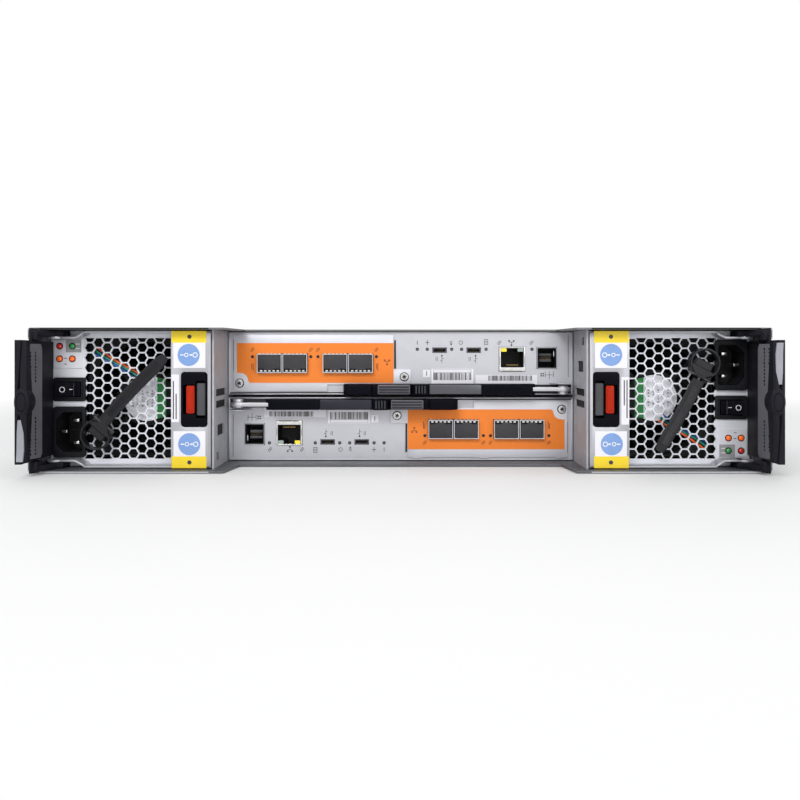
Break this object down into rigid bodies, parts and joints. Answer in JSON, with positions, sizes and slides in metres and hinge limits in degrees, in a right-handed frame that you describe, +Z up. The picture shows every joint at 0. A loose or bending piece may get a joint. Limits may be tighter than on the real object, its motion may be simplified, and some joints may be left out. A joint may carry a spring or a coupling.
{
  "type": "disk shelf enclosure",
  "caption": "Rack-mount disk shelf with sliding drive carriers, pull-out power modules behind honeycomb grilles, and controller canisters locked by swing levers.",
  "frame": {"origin": "middle of the bottom of the whole shelf", "axes": "+X to the right and +Y into the shelf as seen from its connector side, +Z up"},
  "size_m": [0.483, 0.66, 0.088],
  "materials": {
    "galvanised_steel": "bright zinc-coated sheet",
    "painted_steel": "satin black powder coat",
    "circuit_board": "solder mask",
    "connector_plastic": "moulded",
    "module_steel": "bright zinc-coated sheet",
    "fan_plastic": "moulded",
    "wire_insulation": "satin",
    "black_plastic": "fine moulded texture",
    "trigger_red": "satin moulded",
    "strap_nylon": "nylon",
    "orange_paint": "satin paint",
    "bright_steel": "nickel-plated",
    "plug_rubber": "matte",
    "drive_plastic": "satin moulded"
  },
  "bodies": {
    "chassis": {"chassis_tray": "galvanised_steel", "top_cover": "galvanised_steel", "bay_dividers": "galvanised_steel", "controller_shelf": "galvanised_steel", "drive_cage": "galvanised_steel", "midplane_board": "circuit_board", "midplane_connectors": "connector_plastic", "rack_ears": "painted_steel"},
    "power_left": {"power_left_case": "module_steel", "power_left_grille": "module_steel", "power_left_fan_housing": "fan_plastic", "power_left_fan_leads": "wire_insulation", "power_left_inlet": "black_plastic", "power_left_switch_frame": "black_plastic", "power_left_grip": "black_plastic", "power_left_strap": "strap_nylon"},
    "fan_left": {"power_left_fan_rotor": "fan_plastic"},
    "rocker_left": {"power_left_switch_rocker": "black_plastic"},
    "handle_left": {"power_left_handle": "module_steel", "power_left_latch": "black_plastic"},
    "trigger_left": {"power_left_trigger": "trigger_red"},
    "power_right": {"power_right_case": "module_steel", "power_right_grille": "module_steel", "power_right_fan_housing": "fan_plastic", "power_right_fan_leads": "wire_insulation", "power_right_inlet": "black_plastic", "power_right_switch_frame": "black_plastic", "power_right_grip": "black_plastic", "power_right_strap": "strap_nylon"},
    "fan_right": {"power_right_fan_rotor": "fan_plastic"},
    "rocker_right": {"power_right_switch_rocker": "black_plastic"},
    "handle_right": {"power_right_handle": "module_steel", "power_right_latch": "black_plastic"},
    "trigger_right": {"power_right_trigger": "trigger_red"},
    "controller_lower": {"controller_lower_case": "module_steel", "controller_lower_card_bracket": "orange_paint", "controller_lower_port_cages": "bright_steel", "controller_lower_ports": "bright_steel"},
    "plugs_lower": {"controller_lower_dust_plugs": "plug_rubber"},
    "lever_lower": {"controller_lower_lever": "black_plastic"},
    "catch_lower": {"controller_lower_lever_catch": "module_steel"},
    "controller_upper": {"controller_upper_case": "module_steel", "controller_upper_card_bracket": "orange_paint", "controller_upper_port_cages": "bright_steel", "controller_upper_ports": "bright_steel"},
    "plugs_upper": {"controller_upper_dust_plugs": "plug_rubber"},
    "lever_upper": {"controller_upper_lever": "black_plastic"},
    "catch_upper": {"controller_upper_lever_catch": "module_steel"},
    "drive_01": {"drive_01": "drive_plastic"},
    "drive_02": {"drive_02": "drive_plastic"},
    "drive_03": {"drive_03": "drive_plastic"},
    "drive_04": {"drive_04": "drive_plastic"},
    "drive_05": {"drive_05": "drive_plastic"},
    "drive_06": {"drive_06": "drive_plastic"},
    "drive_07": {"drive_07": "drive_plastic"},
    "drive_08": {"drive_08": "drive_plastic"},
    "drive_09": {"drive_09": "drive_plastic"},
    "drive_10": {"drive_10": "drive_plastic"},
    "drive_11": {"drive_11": "drive_plastic"},
    "drive_12": {"drive_12": "drive_plastic"}
  },
  "joints": [
    {"name": "power_left_slide", "type": "slide", "parent": "chassis", "child": "power_left", "axis": [0, -1, 0], "range_m": [0, 0.325]},
    {"name": "fan_left_spin", "type": "hinge", "parent": "power_left", "child": "fan_left", "pos_m": [-0.161, -0.291, 0.044], "axis": [0, 1, 0], "continuous": true},
    {"name": "rocker_left_tilt", "type": "hinge", "parent": "power_left", "child": "rocker_left", "pos_m": [-0.208, -0.295, 0.0497], "axis": [0, 0, -1], "range_deg": [0, 18]},
    {"name": "handle_left_swing", "type": "hinge", "parent": "power_left", "child": "handle_left", "pos_m": [-0.2139, -0.301, 0.044], "axis": [0, 0, -1], "range_deg": [0, 78]},
    {"name": "trigger_left_press", "type": "slide", "parent": "handle_left", "child": "trigger_left", "axis": [-1, 0, 0], "range_m": [0, 0.002], "stiffness_N_per_m": 500, "springref_m": -0.002},
    {"name": "power_right_slide", "type": "slide", "parent": "chassis", "child": "power_right", "axis": [0, -1, 0], "range_m": [0, 0.325]},
    {"name": "fan_right_spin", "type": "hinge", "parent": "power_right", "child": "fan_right", "pos_m": [0.161, -0.291, 0.044], "axis": [0, 1, 0], "continuous": true},
    {"name": "rocker_right_tilt", "type": "hinge", "parent": "power_right", "child": "rocker_right", "pos_m": [0.208, -0.295, 0.0383], "axis": [0, 0, 1], "range_deg": [0, 18]},
    {"name": "handle_right_swing", "type": "hinge", "parent": "power_right", "child": "handle_right", "pos_m": [0.2139, -0.301, 0.044], "axis": [0, 0, 1], "range_deg": [0, 78]},
    {"name": "trigger_right_press", "type": "slide", "parent": "handle_right", "child": "trigger_right", "axis": [1, 0, 0], "range_m": [0, 0.002], "stiffness_N_per_m": 500, "springref_m": -0.002},
    {"name": "controller_lower_slide", "type": "slide", "parent": "chassis", "child": "controller_lower", "axis": [0, -1, 0], "range_m": [0, 0.3]},
    {"name": "plugs_lower_pull", "type": "slide", "parent": "controller_lower", "child": "plugs_lower", "axis": [0, -1, 0], "range_m": [0, 0.025]},
    {"name": "lever_lower_swing", "type": "hinge", "parent": "controller_lower", "child": "lever_lower", "pos_m": [-0.1062, -0.2783, 0.0391], "axis": [0, 0, -1], "range_deg": [0, 70]},
    {"name": "catch_lower_slide", "type": "slide", "parent": "lever_lower", "child": "catch_lower", "axis": [1, 0, 0], "range_m": [0, 0.0036], "stiffness_N_per_m": 400, "springref_m": -0.001},
    {"name": "controller_upper_slide", "type": "slide", "parent": "chassis", "child": "controller_upper", "axis": [0, -1, 0], "range_m": [0, 0.3]},
    {"name": "plugs_upper_pull", "type": "slide", "parent": "controller_upper", "child": "plugs_upper", "axis": [0, -1, 0], "range_m": [0, 0.025]},
    {"name": "lever_upper_swing", "type": "hinge", "parent": "controller_upper", "child": "lever_upper", "pos_m": [0.1062, -0.2783, 0.0489], "axis": [0, 0, 1], "range_deg": [0, 70]},
    {"name": "catch_upper_slide", "type": "slide", "parent": "lever_upper", "child": "catch_upper", "axis": [-1, 0, 0], "range_m": [0, 0.0036], "stiffness_N_per_m": 400, "springref_m": -0.001},
    {"name": "drive_01_slide", "type": "slide", "parent": "chassis", "child": "drive_01", "axis": [0, 1, 0], "range_m": [0, 0.25]},
    {"name": "drive_02_slide", "type": "slide", "parent": "chassis", "child": "drive_02", "axis": [0, 1, 0], "range_m": [0, 0.25]},
    {"name": "drive_03_slide", "type": "slide", "parent": "chassis", "child": "drive_03", "axis": [0, 1, 0], "range_m": [0, 0.25]},
    {"name": "drive_04_slide", "type": "slide", "parent": "chassis", "child": "drive_04", "axis": [0, 1, 0], "range_m": [0, 0.25]},
    {"name": "drive_05_slide", "type": "slide", "parent": "chassis", "child": "drive_05", "axis": [0, 1, 0], "range_m": [0, 0.25]},
    {"name": "drive_06_slide", "type": "slide", "parent": "chassis", "child": "drive_06", "axis": [0, 1, 0], "range_m": [0, 0.25]},
    {"name": "drive_07_slide", "type": "slide", "parent": "chassis", "child": "drive_07", "axis": [0, 1, 0], "range_m": [0, 0.25]},
    {"name": "drive_08_slide", "type": "slide", "parent": "chassis", "child": "drive_08", "axis": [0, 1, 0], "range_m": [0, 0.25]},
    {"name": "drive_09_slide", "type": "slide", "parent": "chassis", "child": "drive_09", "axis": [0, 1, 0], "range_m": [0, 0.25]},
    {"name": "drive_10_slide", "type": "slide", "parent": "chassis", "child": "drive_10", "axis": [0, 1, 0], "range_m": [0, 0.25]},
    {"name": "drive_11_slide", "type": "slide", "parent": "chassis", "child": "drive_11", "axis": [0, 1, 0], "range_m": [0, 0.25]},
    {"name": "drive_12_slide", "type": "slide", "parent": "chassis", "child": "drive_12", "axis": [0, 1, 0], "range_m": [0, 0.25]}
  ]
}
